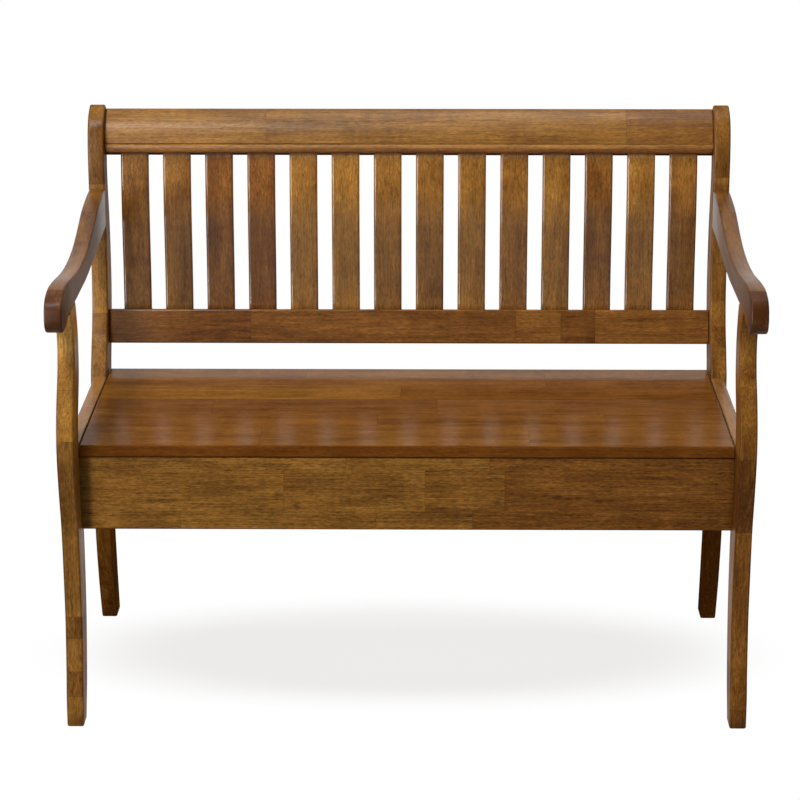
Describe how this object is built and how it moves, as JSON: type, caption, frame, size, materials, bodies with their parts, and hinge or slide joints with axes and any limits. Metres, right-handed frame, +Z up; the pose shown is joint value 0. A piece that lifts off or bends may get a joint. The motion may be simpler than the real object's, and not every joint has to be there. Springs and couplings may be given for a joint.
{
  "type": "deacons bench",
  "caption": "Wooden deacons bench with curved arms, a curved slatted back, a rolled crest rail and a hinged seat lid over a shallow storage box.",
  "frame": {"origin": "on the floor, in the middle of the width and of the depth", "axes": "+X to the right seen from the front, +Y to the back, +Z up; the sitter faces -Y"},
  "size_m": [1.12, 0.668, 0.93],
  "materials": {
    "golden_wood": "golden-brown stained hardwood, satin lacquer",
    "reddish_wood": "reddish-brown stained hardwood, satin lacquer",
    "dark_wood": "dark brown stained hardwood, satin lacquer",
    "raw_pine": "bare softwood and plywood",
    "brass": "brass-plated steel",
    "zinc_steel": "zinc-plated steel"
  },
  "bodies": {
    "frame": {"front_leg_left": "golden_wood", "front_leg_right": "golden_wood", "back_post_left": "golden_wood", "back_post_right": "golden_wood", "crest_rail": "golden_wood", "front_apron": "golden_wood", "arm_left": "reddish_wood", "arm_right": "reddish_wood", "side_rail_left": "reddish_wood", "side_rail_right": "reddish_wood", "lower_back_rail": "dark_wood", "slat_01": "dark_wood", "slat_02": "dark_wood", "slat_03": "dark_wood", "slat_04": "dark_wood", "slat_05": "dark_wood", "slat_06": "dark_wood", "slat_07": "dark_wood", "slat_08": "dark_wood", "slat_09": "dark_wood", "slat_10": "dark_wood", "slat_11": "dark_wood", "slat_12": "dark_wood", "slat_13": "dark_wood", "slat_14": "dark_wood", "back_apron": "dark_wood", "cleat_front": "raw_pine", "cleat_back": "raw_pine", "cleat_left": "raw_pine", "cleat_right": "raw_pine", "box_bottom": "raw_pine", "hinge_frame_leaf_left": "brass", "hinge_pin_left": "brass", "hinge_frame_screw_left_1": "brass", "hinge_frame_screw_left_2": "brass", "hinge_frame_screw_left_3": "brass", "hinge_frame_leaf_right": "brass", "hinge_pin_right": "brass", "hinge_frame_screw_right_1": "brass", "hinge_frame_screw_right_2": "brass", "hinge_frame_screw_right_3": "brass"},
    "lid": {"seat_lid": "reddish_wood", "lid_batten_left": "dark_wood", "lid_batten_right": "dark_wood", "hinge_lid_leaf_left": "brass", "hinge_lid_screw_left_1": "brass", "hinge_lid_screw_left_2": "brass", "hinge_lid_screw_left_3": "brass", "hinge_lid_leaf_right": "brass", "hinge_lid_screw_right_1": "brass", "hinge_lid_screw_right_2": "brass", "hinge_lid_screw_right_3": "brass", "batten_screw_left_1": "zinc_steel", "batten_screw_left_2": "zinc_steel", "batten_screw_left_3": "zinc_steel", "batten_screw_right_1": "zinc_steel", "batten_screw_right_2": "zinc_steel", "batten_screw_right_3": "zinc_steel"}
  },
  "joints": [
    {"name": "seat_lid_hinge", "type": "hinge", "parent": "frame", "child": "lid", "pos_m": [0, 0.2389, 0.44885], "axis": [-1, 0, 0], "range_deg": [0, 69]}
  ]
}
